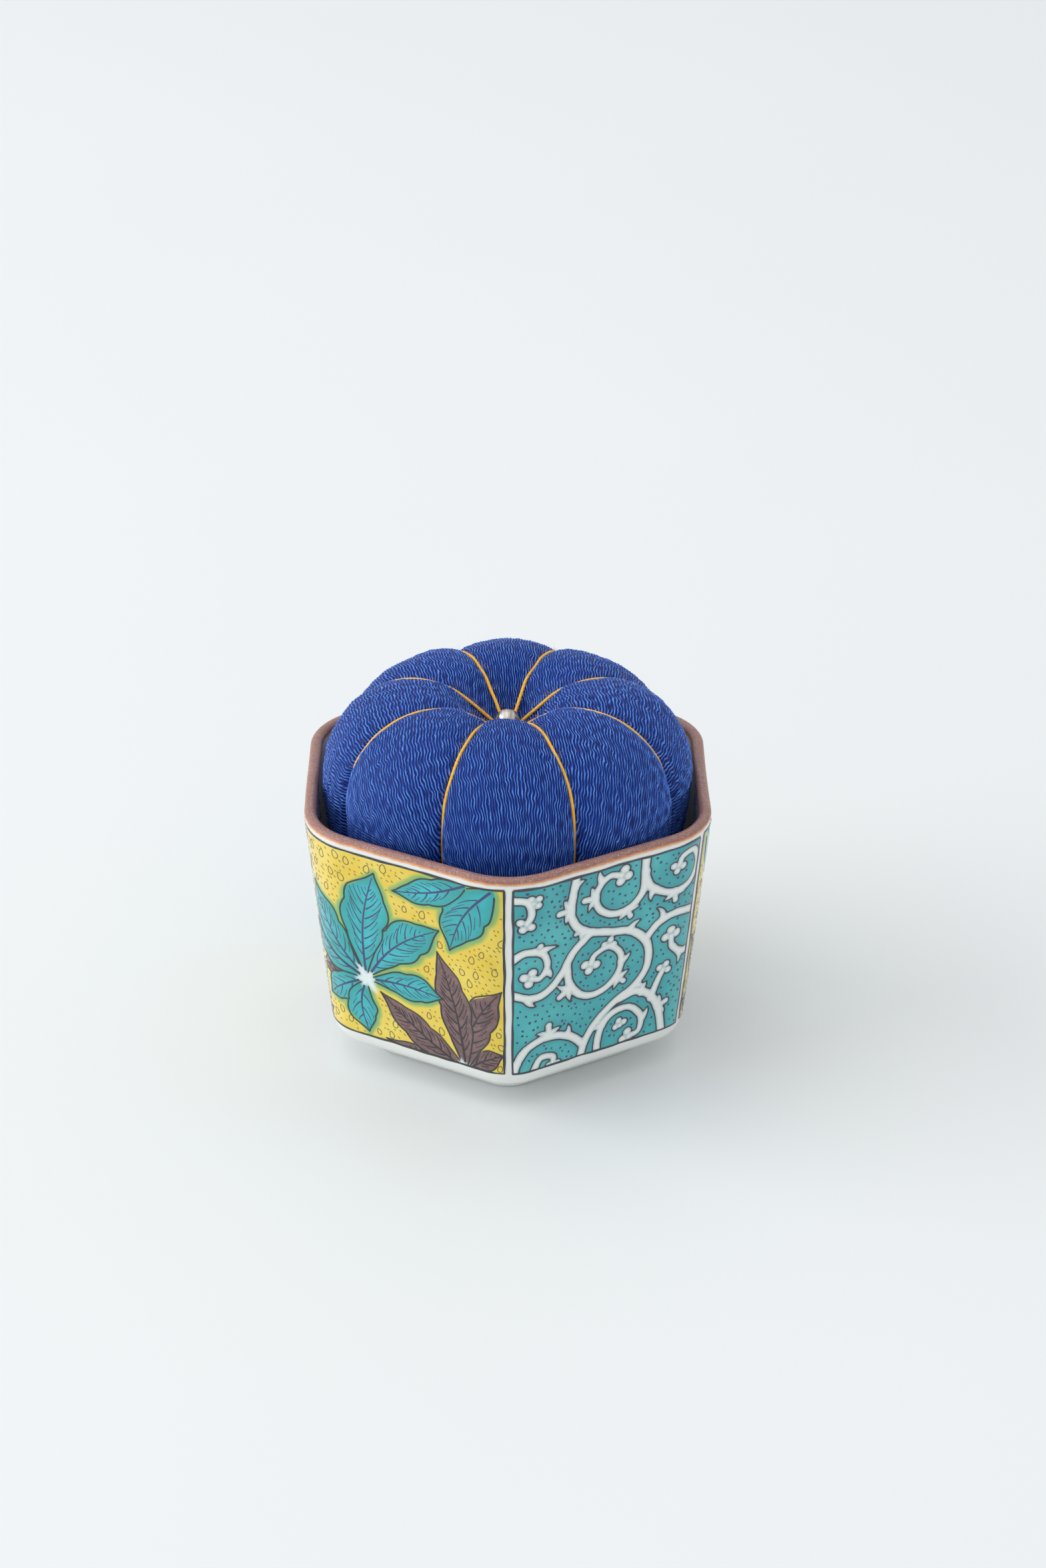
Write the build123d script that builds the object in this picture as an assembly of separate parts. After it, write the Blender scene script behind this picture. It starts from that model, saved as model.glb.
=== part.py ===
from build123d import *
import os
from math import acos, asin, cos, degrees, radians, sqrt

# A pin cushion: a ball of crepe cloth, divided into eight lobes by eight threads that meet under a
# bead, standing in a hexagonal porcelain cup. Millimetres, +Z up, origin at the centre of the foot.
# The cup has one corner towards -Y, and the cushion has one lobe towards -Y.

# ---- Cup ----
RIM_WIDTH = 60.2        # across the flats, outside, at the rim
CUP_HEIGHT = 41.6
WALL_TAPER = 0.1047     # how far a wall leans out for each millimetre of height
WALL = 1.85             # wall thickness, measured level
SHOULDER_Z = 4.3        # where the walls turn in to the underside
SHOULDER_RADIUS = 3.0   # rounding of that turn
UNDERSIDE_Z = 3.0       # the underside slopes down to this height at the foot
FLOOR_Z = 6.2           # the cup's floor, inside
FLOOR_RADIUS = 3.5      # rounding where the walls meet the floor
CORNER_RADIUS_TOP = 11.8
CORNER_RADIUS_LOW = 7.0
CORNER_LOW_Z = 7.0      # the height at which a corner has the lower radius
LIP_RADIUS = 0.85       # rounding of both edges of the rim
FOOT_WIDTH = 40.0       # across the flats, outside
FOOT_WALL = 2.4
FOOT_CORNER_RADIUS = 5.0
FOOT_EDGE = 0.5         # rounding of the foot's lower edges

# ---- Cushion ----
LOBES = 8
LOBE_ANGLE = 360 / LOBES
CROWN_RADIUS = 13.3     # distance from the axis to the highest ring of the cushion
CUSHION_TOP = 55.75
CUSHION_RADIUS = 27.5   # at its widest, over the lobes
CUSHION_BASE = 7.6      # the underside of the cloth
CLOTH = 0.8             # crepe with its backing
INNER_CROWN_RADIUS = 14.0   # rounding of the top between the crown ring and the bead
LOWER_RADIUS = 52.0     # the lower half narrows on this arc
BASE_RADIUS = 8.0       # then turns in to the flat base on this one
SEAT_EDGE = 2.4         # rounding of the dimple's edge beside the bead

# ---- Threads ----
THREAD = 0.56           # diameter
THREAD_GAP = 0.03       # room between a thread and the cloth under it
THREAD_TOP = 54.45      # height of a thread's middle where it crosses the crown ring
THREAD_REACH = 25.5     # distance of a thread's middle from the axis at the widest place
THREAD_BOTTOM = 8.7     # height of a thread's middle under the cushion
THREAD_LOWER_RADIUS = 50.0
THREAD_BASE_RADIUS = 7.0
THREAD_EDGE = 1.0       # bend where a thread turns down beside the bead
GROOVE_FLOOR = 0.30     # width of the groove under a thread
GROOVE_SLOPE = 1.9      # how far each side of the groove leans out for each millimetre of height
GROOVE_HEIGHT = 4.5     # the groove is cut to this height, clear of the lobes

# ---- Bead and what holds it ----
BEAD = 3.7
BEAD_Z = 50.25
BEAD_HOLE = 0.9         # runs level through the bead, along X
CORE = 1.6              # diameter of the bundle of stitches through the middle
CORE_TOP = 48.2         # just under the bead
LOOP = 0.5              # diameter of the stitch through the bead
LOOP_BEND = 0.45        # bend where that stitch leaves the hole
LOOP_TURN = 45          # the stitch hugs the bead to this many degrees below its middle
KNOT = 2.6              # diameter of the knot under the cushion
KNOT_Z = 8.2
KNOT_HEIGHT = 1.0

# ---- Base ----
CARD_WIDTH = 20.0
CARD_THICKNESS = 1.0
CARD_Z = 10.0           # the card's underside; the gathered cloth lies under it
FELT_WIDTH = 24.0
FELT_THICKNESS = 1.2
GATHER_RADIUS = 4.0     # the ring of gathering stitches that closes the cloth
GATHER_THREAD = 0.5
GATHER_Z = 7.88


def hexagon(apothem, corner_radius, height):
    """A rounded hexagon with a corner towards -Y, lying at a height."""
    plain = RegularPolygon(apothem / cos(radians(30)), 6, rotation=30)
    return Pos(0, 0, height) * fillet(plain.vertices(), corner_radius)


def wall_apothem(height):
    return RIM_WIDTH / 2 - (CUP_HEIGHT - height) * WALL_TAPER


def corner_radius(height):
    rise = (height - CORNER_LOW_Z) / (CUP_HEIGHT - CORNER_LOW_Z)
    return CORNER_RADIUS_LOW + rise * (CORNER_RADIUS_TOP - CORNER_RADIUS_LOW)


def edges_at(shape, height, tolerance=0.01):
    return [e for e in shape.edges() if abs(e.bounding_box().min.Z - height) < tolerance
            and abs(e.bounding_box().max.Z - height) < tolerance]


def porcelain_cup():
    """The cup: six walls that lean out, rounded corners, a sloping underside and a ring foot."""
    low = wall_apothem(SHOULDER_Z)
    walls = loft([hexagon(low, corner_radius(SHOULDER_Z), SHOULDER_Z),
                  hexagon(wall_apothem(CUP_HEIGHT), corner_radius(CUP_HEIGHT), CUP_HEIGHT)], ruled=True)
    underside = loft([hexagon(FOOT_WIDTH / 2, FOOT_CORNER_RADIUS, UNDERSIDE_Z),
                      hexagon(low, corner_radius(SHOULDER_Z), SHOULDER_Z)], ruled=True)
    body = walls + underside
    body = fillet(edges_at(body, SHOULDER_Z), SHOULDER_RADIUS)
    floor_corner = corner_radius(FLOOR_Z) - WALL
    top_corner = corner_radius(CUP_HEIGHT) - WALL
    hollow = loft([hexagon(wall_apothem(FLOOR_Z) - WALL, floor_corner, FLOOR_Z),
                   hexagon(wall_apothem(CUP_HEIGHT) - WALL, top_corner, CUP_HEIGHT)], ruled=True)
    hollow = fillet(edges_at(hollow, FLOOR_Z), FLOOR_RADIUS)
    body = fillet(edges_at(body - hollow, CUP_HEIGHT), LIP_RADIUS)
    foot = extrude(hexagon(FOOT_WIDTH / 2, FOOT_CORNER_RADIUS, 0), UNDERSIDE_Z)
    recess = hexagon(FOOT_WIDTH / 2 - FOOT_WALL, FOOT_CORNER_RADIUS - FOOT_WALL, 0)
    foot -= extrude(recess, UNDERSIDE_Z)
    foot = fillet(edges_at(foot, 0), FOOT_EDGE)
    return body + foot


def chain(start, heading, steps):
    """Runs and tangent arcs in the XZ plane. A step is (length,) or (radius, turn in degrees)."""
    path = []
    point = Vector(*start)
    for step in steps:
        if len(step) == 1:
            edge = Line(point, point + heading * step[0])
        else:
            edge = JernArc(start=point, tangent=heading, radius=step[0], arc_size=step[1])
        path.append(edge)
        point = edge @ 1
        heading = edge % 1
    return path


def outward_steps(outer, lower, base, drop, end):
    """From the crown ring out, down and in under the cushion, as far as a radius of end."""
    turn = degrees(asin((drop - base) / (lower - base)))
    corner = CROWN_RADIUS + outer - lower * (1 - cos(radians(turn))) - base * cos(radians(turn))
    return [(outer, -90), (lower, -turn), (base, turn - 90), (corner - end,)]


def crown_turn(arc, edge, seat):
    """How far the arc inside the crown ring turns before the small bend beside the bead."""
    return degrees(asin((CROWN_RADIUS - edge - seat) / (arc - edge)))


def thread_seat(thread):
    """Distance from the bead's middle to the middle of a thread that lies on the bead."""
    return BEAD / 2 + thread / 2 + THREAD_GAP


def ball(inset):
    """The cushion's outer form, or a smaller one inset from it, with its eight grooves."""
    seat = thread_seat(THREAD) + THREAD / 2 + THREAD_GAP + inset
    arc = INNER_CROWN_RADIUS - inset
    edge = SEAT_EDGE - inset
    turn = crown_turn(arc, edge, seat)
    top = CUSHION_TOP - inset
    outer = CUSHION_RADIUS - CROWN_RADIUS - inset
    drop = top - outer - (CUSHION_BASE + inset)
    right = chain((CROWN_RADIUS, top), Vector(1, 0),
                  outward_steps(outer, LOWER_RADIUS - inset, BASE_RADIUS - inset, drop, 0))
    left = chain((CROWN_RADIUS, top), Vector(-1, 0), [(arc, turn), (edge, 90 - turn)])
    side = Vector(seat, BEAD_Z)
    halfway = seat * sqrt(0.5)
    dimple = [Line(left[-1] @ 1, side),
              ThreePointArc(side, Vector(halfway, BEAD_Z - halfway), Vector(0, BEAD_Z - seat)),
              Line(Vector(0, BEAD_Z - seat), right[-1] @ 1)]
    outline = make_face(Curve() + right + left + dimple)
    return revolve(Plane.XZ * outline, Axis.Z) - around(groove_pieces(inset))


def around(shapes):
    """Copies of the shapes in the plane of +X, one set in each of the furrows between two lobes."""
    return [Rot(0, 0, furrow_angle(i)) * shape for i in range(LOBES) for shape in shapes]


def furrow_angle(index):
    return LOBE_ANGLE * (index + 0.5) - 90


def crown_arc():
    """Radius of a thread's arc inside the crown ring, such that the thread turns down at BEAD_Z."""
    low, high = 12.0, 40.0
    for _ in range(60):
        arc = (low + high) / 2
        turn = radians(crown_turn(arc, THREAD_EDGE, thread_seat(THREAD)))
        end = THREAD_TOP - arc * (1 - cos(turn)) - THREAD_EDGE * cos(turn)
        if end > BEAD_Z:
            high = arc
        else:
            low = arc
    return arc


def thread_steps(offset):
    """The way out from the crown ring and the way in, for a line that lies offset outside a thread."""
    seat = thread_seat(THREAD) - offset
    inner = crown_arc() + offset
    edge = THREAD_EDGE + offset
    turn = crown_turn(inner, edge, seat)
    outer = THREAD_REACH - CROWN_RADIUS + offset
    drop = THREAD_TOP + offset - outer - (THREAD_BOTTOM - offset)
    out = outward_steps(outer, THREAD_LOWER_RADIUS + offset, THREAD_BASE_RADIUS + offset, drop, KNOT / 2)
    under = degrees(acos((CORE / 2 + THREAD / 2) / seat))
    return out, [(inner, turn), (edge, 90 - turn), (seat, -under)]


def groove_pieces(inset):
    """One groove: a wedge swept along each stretch of the line just under a thread."""
    offset = -(THREAD / 2 + THREAD_GAP) - inset
    out, back = thread_steps(offset)
    start = (CROWN_RADIUS, THREAD_TOP + offset)
    narrow = GROOVE_FLOOR / 2
    wide = narrow + GROOVE_SLOPE * GROOVE_HEIGHT
    wedge = make_face(Polyline((-narrow, 0), (narrow, 0), (wide, GROOVE_HEIGHT), (-wide, GROOVE_HEIGHT),
                               close=True))
    pieces = []
    for heading, side, steps in ((Vector(1, 0), 1, out), (Vector(-1, 0), -1, back[:1])):
        for edge in chain(start, heading, steps):
            at = edge @ 0
            along = edge % 0
            section = Plane(origin=(at.X, 0, at.Y), x_dir=(0, side, 0), z_dir=(along.X, 0, along.Y))
            pieces.append(sweep(section * wedge, path=Plane.XZ * edge))
    return pieces


def dividing_thread():
    """One thread: from the knot under the cushion, up its groove, over the crown, in under the bead."""
    out, back = thread_steps(0)
    start = (CROWN_RADIUS, THREAD_TOP)
    outward = chain(start, Vector(1, 0), out)
    inward = chain(start, Vector(-1, 0), back)
    end = outward[-1] @ 1
    section = Plane(origin=(end.X, 0, end.Y), z_dir=(1, 0, 0)) * Circle(THREAD / 2)
    return sweep(section, path=Plane.XZ * Wire(outward + inward))


def upright(radius, low, high):
    """A round bar along the axis, between two heights."""
    return extrude(Pos(0, 0, low) * Circle(radius), high - low)


def crown_bead():
    hole = Pos(0, 0, BEAD_Z) * Rot(0, 90, 0) * Cylinder(BEAD_HOLE / 2, BEAD + 1)
    return Pos(0, 0, BEAD_Z) * Sphere(BEAD / 2) - hole


def bead_stitch():
    """The stitch through the bead: level through its hole, then down round the bead at each end."""
    seat = thread_seat(LOOP)
    reach = sqrt((seat - LOOP_BEND) ** 2 - LOOP_BEND ** 2)
    lean = degrees(asin(LOOP_BEND / (seat - LOOP_BEND)))
    half = chain((0, BEAD_Z), Vector(1, 0),
                 [(reach,), (LOOP_BEND, -90 - lean), (seat, lean - LOOP_TURN)])
    leg = sweep(Plane(origin=(0, 0, BEAD_Z), z_dir=(1, 0, 0)) * Circle(LOOP / 2), path=Plane.XZ * Wire(half))
    return leg + Rot(0, 0, 180) * leg


def cushion_parts():
    """The cloth, the stuffing and the base, cut so that they lie face to face."""
    core = upright(CORE / 2, KNOT_Z + KNOT_HEIGHT, CORE_TOP)
    knot = upright(KNOT / 2, KNOT_Z, KNOT_Z + KNOT_HEIGHT)
    card = upright(CARD_WIDTH / 2, CARD_Z, CARD_Z + CARD_THICKNESS) - core
    inside = ball(CLOTH) & upright(CUSHION_RADIUS, CARD_Z, CUSHION_TOP)
    felt = extrude(Pos(0, 0, CUSHION_BASE - FELT_THICKNESS) * Circle(FELT_WIDTH / 2), FELT_THICKNESS)
    return {
        "cushion_cover": ball(0) - inside - core - upright(KNOT / 2, CUSHION_BASE, KNOT_Z + KNOT_HEIGHT),
        "wool_filling": inside - card - core,
        "base_card": card,
        "base_felt": felt,
        "centre_stitch": core,
        "anchor_knot": knot,
        "gathering_stitch": Pos(0, 0, GATHER_Z) * Torus(GATHER_RADIUS, GATHER_THREAD / 2),
    }


def all_parts():
    parts = {"porcelain_cup": porcelain_cup(), "crown_bead": crown_bead(), "bead_stitch": bead_stitch()}
    parts.update(cushion_parts())
    for index, thread in enumerate(around([dividing_thread()])):
        parts[f"dividing_thread_{index + 1}"] = thread
    return parts


if __name__ == "__main__":
    os.makedirs("parts", exist_ok=True)
    for name, shape in all_parts().items():
        export_step(shape, f"parts/{name}.step")
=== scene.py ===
import math

import bpy
import numpy as np
from mathutils import Matrix, Vector


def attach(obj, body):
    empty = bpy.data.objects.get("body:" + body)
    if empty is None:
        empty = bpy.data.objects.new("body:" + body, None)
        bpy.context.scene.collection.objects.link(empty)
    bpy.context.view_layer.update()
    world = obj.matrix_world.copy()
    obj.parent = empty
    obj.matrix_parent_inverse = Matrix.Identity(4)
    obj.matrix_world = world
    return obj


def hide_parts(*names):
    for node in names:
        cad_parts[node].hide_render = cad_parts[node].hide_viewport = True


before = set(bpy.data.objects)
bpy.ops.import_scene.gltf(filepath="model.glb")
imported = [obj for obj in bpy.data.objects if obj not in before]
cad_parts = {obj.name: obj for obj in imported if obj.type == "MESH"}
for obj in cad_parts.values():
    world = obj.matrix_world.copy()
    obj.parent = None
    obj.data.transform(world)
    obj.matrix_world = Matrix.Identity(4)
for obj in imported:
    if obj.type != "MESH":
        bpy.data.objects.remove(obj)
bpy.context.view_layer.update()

# Lengths are in millimetres in the names below, and MM turns them into metres when a mesh is made.
MM = 0.001

# ---- Cup, as the CAD model has it ----
RIM_WIDTH = 60.2
CUP_HEIGHT = 41.6
WALL_TAPER = 0.1047
WALL = 1.85
SHOULDER_Z, SHOULDER_RADIUS = 4.3, 3.0
UNDERSIDE_Z = 3.0
FLOOR_Z, FLOOR_RADIUS = 6.2, 3.5
CORNER_TOP, CORNER_LOW, CORNER_LOW_Z = 11.8, 7.0, 7.0
LIP_RADIUS = 0.85
FOOT_HALF, FOOT_WALL, FOOT_CORNER = 20.0, 2.4, 5.0

# ---- Cushion, as the CAD model has it ----
LOBES = 8
CROWN_RADIUS = 13.3
CUSHION_TOP = 55.75
CUSHION_RADIUS = 27.5
CUSHION_BASE = 7.6
THREAD = 0.56
THREAD_TOP = 54.45
THREAD_REACH = 25.5
THREAD_BOTTOM = 8.7
BEAD = 3.7
BEAD_Z = 50.25
FELT_RADIUS, FELT_LOW, FELT_HIGH = 12.0, 6.4, 7.6
CARD_TOP = 11.02


def rgb(r, g, b):
    """An sRGB colour from 0 to 255 as the linear colour that a shader takes."""
    c = np.array([r, g, b]) / 255
    lin = np.where(c <= 0.04045, c / 12.92, ((c + 0.055) / 1.055) ** 2.4)
    return (*lin.tolist(), 1.0)


# ---- Camera, light, floor

CAMERA_TARGET = Vector((0, 0, 0.018))
CAMERA_DISTANCE = 0.556
CAMERA_ELEVATION, CAMERA_AZIMUTH = 30.15, -0.31
CAMERA_PAN, CAMERA_TILT = 0.245, 1.965
CAMERA_LENS = 83.43
WORLD_STRENGTH, WINDOW_WATTS, OVERHEAD_WATTS = 0.83, 14.2, 3.2
FLOOR_HALF = 10         # half the floor's width, in metres


def link(ob):
    bpy.context.scene.collection.objects.link(ob)
    return ob


def add_camera():
    e, a = math.radians(CAMERA_ELEVATION), math.radians(CAMERA_AZIMUTH)
    back = Vector((math.sin(a) * math.cos(e), -math.cos(a) * math.cos(e), math.sin(e)))
    right = Vector((math.cos(a), math.sin(a), 0))
    up = back.cross(right)
    forward = -back
    pan, tilt = math.radians(CAMERA_PAN), math.radians(CAMERA_TILT)
    forward = forward * math.cos(pan) + right * math.sin(pan)
    forward = forward * math.cos(tilt) + up * math.sin(tilt)
    right = forward.cross(up).normalized()
    up = right.cross(forward)
    turn = Matrix((right, up, -forward)).transposed()
    data = bpy.data.cameras.new("camera")
    data.lens = CAMERA_LENS
    data.clip_start, data.clip_end = 0.01, 20
    cam = link(bpy.data.objects.new("camera", data))
    place = CAMERA_TARGET + back * CAMERA_DISTANCE
    cam.matrix_world = Matrix.Translation(place) @ turn.to_4x4()
    bpy.context.scene.camera = cam


def area_light(name, place, aim, size, power, colour):
    data = bpy.data.lights.new(name, "AREA")
    data.shape = "RECTANGLE"
    data.size, data.size_y = size
    data.energy = power
    data.color = colour
    ob = link(bpy.data.objects.new(name, data))
    ob.location = place
    ob.rotation_euler = (Vector(aim) - Vector(place)).to_track_quat("-Z", "Y").to_euler()


def add_lights():
    world = bpy.data.worlds.new("studio")
    world.use_nodes = True
    back = world.node_tree.nodes["Background"]
    back.inputs["Color"].default_value = rgb(243, 244, 245)
    back.inputs["Strength"].default_value = WORLD_STRENGTH
    bpy.context.scene.world = world
    area_light("window", (-1.5, -0.05, 0.78), (0, 0, 0.03), (1.6, 1.0), WINDOW_WATTS,
               (1.0, 0.99, 0.98))
    area_light("overhead", (-0.30, 0.05, 1.2), (0, 0, 0.02), (1.5, 1.2), OVERHEAD_WATTS,
               (0.985, 0.995, 1.0))
    bpy.context.scene.view_settings.view_transform = "Standard"


def add_floor():
    mesh = bpy.data.meshes.new("floor")
    corners = [(x * FLOOR_HALF, y * FLOOR_HALF, 0) for x, y in ((-1, -1), (1, -1), (1, 1), (-1, 1))]
    mesh.from_pydata(corners, [], [(0, 1, 2, 3)])
    ob = link(bpy.data.objects.new("floor", mesh))
    mesh.materials.append(floor_material())


# ---- Small node helpers

class Nodes:
    """Builds a material's nodes with short calls."""

    def __init__(self, name):
        self.mat = bpy.data.materials.new(name)
        self.mat.use_nodes = True
        self.tree = self.mat.node_tree
        self.bsdf = self.tree.nodes["Principled BSDF"]

    def put(self, socket, value):
        if isinstance(value, bpy.types.NodeSocket):
            self.tree.links.new(value, socket)
        else:
            socket.default_value = value

    def set(self, **values):
        for key, value in values.items():
            self.put(self.bsdf.inputs[key.replace("_", " ")], value)

    def node(self, kind, *values, **named):
        """A new node with its first inputs set in order, or its inputs set by name."""
        node = self.tree.nodes.new(kind)
        for socket, value in zip(node.inputs, values):
            self.put(socket, value)
        for key, value in named.items():
            self.put(node.inputs[key], value)
        return node

    def attribute(self, name):
        node = self.node("ShaderNodeAttribute")
        node.attribute_name = name
        return node.outputs["Fac"]

    def noise(self, scale, detail, rough=0.5, stretch=None):
        where = self.node("ShaderNodeTexCoord").outputs["Object"]
        if stretch:
            where = self.node("ShaderNodeMapping", Scale=stretch, Vector=where).outputs["Vector"]
        return self.node("ShaderNodeTexNoise", Scale=scale, Detail=detail, Roughness=rough,
                         Vector=where).outputs["Fac"]

    def math(self, kind, a, b=0.0, c=0.0):
        node = self.node("ShaderNodeMath", a, b, c)
        node.operation = kind
        return node.outputs[0]

    def shake(self, scale, detail, amount):
        """Noise about zero, for edges that wander."""
        return self.math("MULTIPLY", self.math("SUBTRACT", self.noise(scale, detail), 0.5), amount)

    def span(self, value, low, high, to_low=0.0, to_high=1.0, smooth=True):
        node = self.node("ShaderNodeMapRange", value, low, high, to_low, to_high)
        if smooth:
            node.interpolation_type = "SMOOTHSTEP"
        return node.outputs[0]

    def mix(self, factor, a, b):
        node = self.node("ShaderNodeMix")
        node.data_type = "RGBA"
        self.put(node.inputs[0], factor)
        self.put(node.inputs[6], a)
        self.put(node.inputs[7], b)
        return node.outputs[2]

    def bump(self, height, strength, distance):
        return self.node("ShaderNodeBump", Strength=strength, Distance=distance,
                         Height=height).outputs["Normal"]


def floor_material():
    n = Nodes("pale_floor")
    tone = n.mix(n.noise(6, 2), rgb(229, 233, 235), rgb(234, 237, 238))
    n.set(Base_Color=tone, Roughness=0.55)
    return n.mat


# ---- Mesh helpers

def make_mesh(name, points, faces, material, attributes=None):
    """A smooth object from points in millimetres, arrays of faces, and attributes of its points."""
    mesh = bpy.data.meshes.new(name)
    points = np.asarray(points, float) * MM
    mesh.vertices.add(len(points))
    mesh.vertices.foreach_set("co", points.astype(np.float32).ravel())
    sizes = np.concatenate([np.full(len(f), f.shape[1], np.int32) for f in faces])
    corners = np.concatenate([f.ravel() for f in faces]).astype(np.int32)
    mesh.loops.add(len(corners))
    mesh.loops.foreach_set("vertex_index", corners)
    mesh.polygons.add(len(sizes))
    mesh.polygons.foreach_set("loop_start", (np.cumsum(sizes) - sizes).astype(np.int32))
    mesh.polygons.foreach_set("loop_total", sizes)
    mesh.polygons.foreach_set("use_smooth", np.full(len(sizes), True))
    mesh.update(calc_edges=True)
    for key, values in (attributes or {}).items():
        layer = mesh.attributes.new(key, "FLOAT", "POINT")
        layer.data.foreach_set("value", np.asarray(values, np.float32).ravel())
    mesh.materials.append(material)
    return link(bpy.data.objects.new(name, mesh))


def grid_faces(rows, columns, start=0, wrap=False):
    """Quads over a grid of points stored row by row. wrap joins the last column to the first."""
    r = np.arange(rows - 1)[:, None]
    c = np.arange(columns if wrap else columns - 1)[None, :]
    n = (c + 1) % columns
    low, high = r * columns, (r + 1) * columns
    return np.stack([low + c, low + n, high + n, high + c], -1).reshape(-1, 4) + start


def tube_faces(rows, around):
    """The faces of a tube of rings, closed by a flat face at each end."""
    k = np.arange(around)
    return [grid_faces(rows, around, wrap=True), k[None, ::-1], k[None, :] + (rows - 1) * around]


def ring_angles(count):
    return np.arange(count) * 2 * math.pi / count


def unit(x):
    return np.clip(x, 0, 1)


def run_along(line):
    """Distance along a line in a plane to each of its points."""
    return np.concatenate([[0], np.cumsum(np.hypot(*np.diff(line, axis=0).T))])


def side_of(path):
    """The unit vectors to the left of a path in a plane."""
    along = np.gradient(path, axis=0)
    along /= np.maximum(np.linalg.norm(along, axis=1, keepdims=True), 1e-9)
    return np.stack([-along[:, 1], along[:, 0]], -1)


def waves(count, shortest, longest, seed):
    """A smooth random field of two coordinates: a sum of sines of wavelengths in a range."""
    rng = np.random.default_rng(seed)
    length = np.exp(rng.uniform(math.log(shortest), math.log(longest), count))
    angle = rng.uniform(0, 2 * math.pi, count)
    phase = rng.uniform(0, 2 * math.pi, count)
    kx, ky = 2 * math.pi / length * np.cos(angle), 2 * math.pi / length * np.sin(angle)

    def field(x, y):
        total = np.zeros(np.broadcast(x, y).shape)
        for a, b, p in zip(kx, ky, phase):
            total += np.sin(a * x + b * y + p)
        return total / math.sqrt(count / 2)
    return field


# ---- Cup

WALL_SWAY = waves(10, 18, 60, 3)
WALL_UNEVEN = 0.05
SWAY_FACE = 31          # length of a face along the sway, in its own coordinates
FACE_COLUMNS = 30       # points across each face of the cup


def wall_bend(x, z):
    """How far the hand-made wall stands out of true at corner number x and height z."""
    return WALL_UNEVEN * WALL_SWAY(x * SWAY_FACE, z) * np.sin(np.radians(x * 60))


def wall_apothem(z):
    return RIM_WIDTH / 2 - (CUP_HEIGHT - z) * WALL_TAPER


def corner_radius(z):
    up = (z - CORNER_LOW_Z) / (CUP_HEIGHT - CORNER_LOW_Z)
    return CORNER_LOW + up * (CORNER_TOP - CORNER_LOW)


def on_hexagon(x, apothem, radius):
    """A point and its outward normal on a rounded hexagon. x counts corners: 0 is the one at -Y."""
    k = np.floor(x)
    side = 2 * (apothem - radius) * math.tan(math.pi / 6)
    half_arc = radius * math.pi / 6
    d = (x - k) * (side + 2 * half_arc)
    axis = np.radians(-90 + 60 * k)
    first = d < half_arc
    last = d > side + half_arc
    past = math.pi / 3 + (d - side - 2 * half_arc) / radius
    direction = axis + np.where(first, d / radius, np.where(last, past, math.pi / 6))
    nx, ny = np.cos(direction), np.sin(direction)
    run = np.where(first | last, 0, d - half_arc - side / 2)
    corner = np.where(last, axis + math.pi / 3, axis)
    middle = (apothem - radius) / math.cos(math.pi / 6)
    px = np.where(first | last, middle * np.cos(corner) + radius * nx, apothem * nx - run * ny)
    py = np.where(first | last, middle * np.sin(corner) + radius * ny, apothem * ny + run * nx)
    return px, py, nx, ny


def on_wall(x, z, lift):
    """Points on the cup's outer wall, lift millimetres proud of it."""
    px, py, nx, ny = on_hexagon(x, wall_apothem(z), corner_radius(z))
    lean = math.atan(WALL_TAPER)
    out = lift * math.cos(lean) + wall_bend(x, z)
    px, py = px + nx * out, py + ny * out
    return np.stack(np.broadcast_arrays(px, py, z - lift * math.sin(lean)), -1)


def rounded_outline(corners, step):
    """Points on a line of (apothem, height, corner radius, rounding), its corners rounded."""
    pts = [np.array(c[:3], float) for c in corners]
    out = [pts[0]]
    for i in range(1, len(pts) - 1):
        before, at, after = pts[i - 1], pts[i], pts[i + 1]
        u, v = before - at, after - at
        lu, lv = np.hypot(u[0], u[1]), np.hypot(v[0], v[1])
        turn = math.pi - math.acos(np.clip(np.dot(u[:2], v[:2]) / lu / lv, -1, 1))
        reach = corners[i][3] * math.tan(turn / 2)
        a, b = at + u / lu * reach, at + v / lv * reach
        out.append(a)
        for t in np.linspace(0, 1, 9)[1:]:
            weight = math.cos(turn / 2)
            top = (1 - t) ** 2 * a + 2 * weight * t * (1 - t) * at + t ** 2 * b
            out.append(top / ((1 - t) ** 2 + 2 * weight * t * (1 - t) + t ** 2))
    out.append(pts[-1])
    dense = [out[0]]
    for a, b in zip(out, out[1:]):
        n = max(1, int(round(np.hypot(*(b - a)[:2]) / step)))
        dense += [a + (b - a) * k / n for k in range(1, n + 1)]
    return np.array(dense)


def cup_outline():
    shoulder = wall_apothem(SHOULDER_Z)
    top = wall_apothem(CUP_HEIGHT)
    floor = wall_apothem(FLOOR_Z) - WALL
    foot_in = FOOT_HALF - FOOT_WALL
    return rounded_outline([
        (0.02, UNDERSIDE_Z, 0.01, 0),
        (foot_in, UNDERSIDE_Z, FOOT_CORNER - FOOT_WALL, 0.8),
        (foot_in, 0, FOOT_CORNER - FOOT_WALL, 0.5),
        (FOOT_HALF, 0, FOOT_CORNER, 0.5),
        (FOOT_HALF, UNDERSIDE_Z, FOOT_CORNER, 0.5),
        (shoulder, SHOULDER_Z, corner_radius(SHOULDER_Z), SHOULDER_RADIUS),
        (top, CUP_HEIGHT, CORNER_TOP, LIP_RADIUS),
        (top - WALL, CUP_HEIGHT, CORNER_TOP - WALL, LIP_RADIUS),
        (floor, FLOOR_Z, corner_radius(FLOOR_Z) - WALL, FLOOR_RADIUS),
        (0.02, FLOOR_Z, 0.01, 0)], 0.9)


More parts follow.
